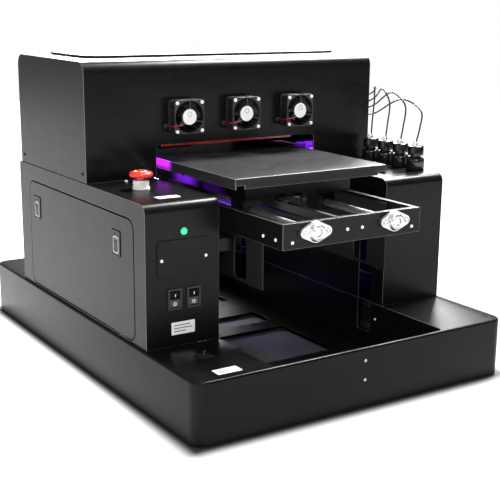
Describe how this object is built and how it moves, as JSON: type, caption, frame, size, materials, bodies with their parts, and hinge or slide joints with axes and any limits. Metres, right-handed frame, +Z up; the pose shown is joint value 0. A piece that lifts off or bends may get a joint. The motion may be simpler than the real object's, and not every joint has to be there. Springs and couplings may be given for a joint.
{
  "type": "flatbed uv printer",
  "caption": "Desktop flatbed UV printer: wide open-well base, two side cabinets, a hood over a sliding bed on a lifting frame, fans, controls and ink bottles.",
  "frame": {"origin": "floor level, under the middle of the base", "axes": "+X to the right seen from the front, +Y to the back, +Z up; the front faces -Y"},
  "size_m": [0.6365, 0.856, 0.5513],
  "materials": {
    "black_paint": "satin",
    "polished_steel": "polished",
    "zinc": "satin",
    "black_plastic": "matte",
    "motor_black": "satin",
    "black_rubber": "matte",
    "tube_plastic": "gloss",
    "collar_grey": "gloss",
    "stop_red": "gloss",
    "button_green": "gloss",
    "shield_red": "gloss"
  },
  "bodies": {
    "chassis": {"base_tray": "black_paint", "floor_plate": "black_paint", "foot_front_left": "black_rubber", "foot_front_right": "black_rubber", "foot_rear_left": "black_rubber", "foot_rear_right": "black_rubber", "left_cabinet": "black_paint", "right_cabinet": "black_paint", "hood": "black_paint", "uv_shield": "shield_red", "fan_frame_1": "black_plastic", "fan_frame_2": "black_plastic", "fan_frame_3": "black_plastic", "estop_collar": "collar_grey", "cover_plate": "black_paint", "rocker_bezel_1": "black_plastic", "rocker_bezel_2": "black_plastic", "guide_shaft_left": "polished_steel", "guide_shaft_right": "polished_steel", "lift_motor_left": "motor_black", "lift_motor_right": "motor_black", "print_beam": "zinc", "ink_bottle_1": "black_plastic", "ink_bottle_2": "black_plastic", "ink_bottle_3": "black_plastic", "ink_bottle_4": "black_plastic", "ink_tube_1": "tube_plastic", "ink_tube_2": "tube_plastic", "ink_tube_3": "tube_plastic", "ink_tube_4": "tube_plastic"},
    "lift_frame": {"bed_frame": "black_paint", "rod_left": "polished_steel", "rod_right": "polished_steel", "flange_bearing_left": "zinc", "flange_bearing_right": "zinc", "lift_bracket_left": "black_paint", "lift_bracket_right": "black_paint", "bed_belt": "black_rubber", "bed_motor": "motor_black", "idler_fork": "zinc"},
    "bed": {"bed_carriage": "black_paint", "bed_tray": "black_paint"},
    "drive_pulley": {"drive_pulley": "zinc"},
    "idler_pulley": {"idler_pulley": "zinc"},
    "lead_screw_left": {"lead_screw_left": "polished_steel"},
    "lead_screw_right": {"lead_screw_right": "polished_steel"},
    "print_head": {"print_carriage": "black_plastic", "uv_lamp": "black_plastic"},
    "side_door": {"side_door": "black_paint"},
    "latch_front": {"latch_front": "black_paint"},
    "latch_rear": {"latch_rear": "black_paint"},
    "top_lid": {"top_lid": "black_paint"},
    "fan_rotor_1": {"fan_rotor_1": "black_plastic"},
    "fan_rotor_2": {"fan_rotor_2": "black_plastic"},
    "fan_rotor_3": {"fan_rotor_3": "black_plastic"},
    "estop_head": {"estop_head": "stop_red"},
    "start_button": {"start_button": "button_green"},
    "rocker_1": {"rocker_1": "black_plastic"},
    "rocker_2": {"rocker_2": "black_plastic"},
    "deck_lever": {"deck_lever": "black_plastic"}
  },
  "joints": [
    {"name": "lift_slide", "type": "slide", "parent": "chassis", "child": "lift_frame", "axis": [0, 0, 1], "range_m": [-0.08, 0.008]},
    {"name": "bed_slide", "type": "slide", "parent": "lift_frame", "child": "bed", "axis": [0, 1, 0], "range_m": [-0.15, 0.2]},
    {"name": "drive_pulley_spin", "type": "hinge", "parent": "lift_frame", "child": "drive_pulley", "pos_m": [0, 0.29, 0.297], "axis": [1, 0, 0], "continuous": true},
    {"name": "idler_pulley_spin", "type": "hinge", "parent": "lift_frame", "child": "idler_pulley", "pos_m": [0, -0.36, 0.297], "axis": [1, 0, 0], "continuous": true},
    {"name": "lead_screw_left_spin", "type": "hinge", "parent": "chassis", "child": "lead_screw_left", "pos_m": [-0.215, -0.2085, 0.1052], "axis": [0, 0, 1], "continuous": true},
    {"name": "lead_screw_right_spin", "type": "hinge", "parent": "chassis", "child": "lead_screw_right", "pos_m": [0.215, -0.2085, 0.1052], "axis": [0, 0, 1], "continuous": true},
    {"name": "print_head_slide", "type": "slide", "parent": "chassis", "child": "print_head", "axis": [1, 0, 0], "range_m": [-0.07, 0.32]},
    {"name": "side_door_hinge", "type": "hinge", "parent": "chassis", "child": "side_door", "pos_m": [-0.3095, 0.002, 0.1095], "axis": [0, 1, 0], "range_deg": [-88, 0]},
    {"name": "latch_front_turn", "type": "hinge", "parent": "side_door", "child": "latch_front", "pos_m": [-0.3095, -0.158, 0.2445], "axis": [0, 1, 0], "range_deg": [-22, 0]},
    {"name": "latch_rear_turn", "type": "hinge", "parent": "side_door", "child": "latch_rear", "pos_m": [-0.3095, 0.187, 0.2445], "axis": [0, 1, 0], "range_deg": [-22, 0]},
    {"name": "top_lid_hinge", "type": "hinge", "parent": "chassis", "child": "top_lid", "pos_m": [0.0225, 0.25, 0.5473], "axis": [1, 0, 0], "range_deg": [-85, 0]},
    {"name": "fan_1_spin", "type": "hinge", "parent": "chassis", "child": "fan_rotor_1", "pos_m": [-0.118, -0.05, 0.4485], "axis": [0, 1, 0], "continuous": true},
    {"name": "fan_2_spin", "type": "hinge", "parent": "chassis", "child": "fan_rotor_2", "pos_m": [0.0015, -0.05, 0.4485], "axis": [0, 1, 0], "continuous": true},
    {"name": "fan_3_spin", "type": "hinge", "parent": "chassis", "child": "fan_rotor_3", "pos_m": [0.121, -0.05, 0.4485], "axis": [0, 1, 0], "continuous": true},
    {"name": "estop_push", "type": "slide", "parent": "chassis", "child": "estop_head", "axis": [0, 0, 1], "range_m": [-0.004, 0]},
    {"name": "start_button_push", "type": "slide", "parent": "chassis", "child": "start_button", "axis": [0, 1, 0], "range_m": [0, 0.002], "stiffness_N_per_m": 300},
    {"name": "rocker_1_rock", "type": "hinge", "parent": "chassis", "child": "rocker_1", "pos_m": [-0.258, -0.2595, 0.184], "axis": [1, 0, 0], "range_deg": [0, 13.5]},
    {"name": "rocker_2_rock", "type": "hinge", "parent": "chassis", "child": "rocker_2", "pos_m": [-0.2235, -0.2595, 0.184], "axis": [1, 0, 0], "range_deg": [0, 13.5]},
    {"name": "deck_lever_flip", "type": "hinge", "parent": "chassis", "child": "deck_lever", "pos_m": [-0.241, -0.325, 0.1071], "axis": [0, 1, 0], "range_deg": [-23, 0]}
  ],
  "couplings": [
    {"joint": "drive_pulley_spin", "follows": "bed_slide", "rad_per_m": -111.48},
    {"joint": "idler_pulley_spin", "follows": "bed_slide", "rad_per_m": -111.48},
    {"joint": "lead_screw_left_spin", "follows": "lift_slide", "rad_per_m": 1570.8},
    {"joint": "lead_screw_right_spin", "follows": "lift_slide", "rad_per_m": 1570.8}
  ]
}
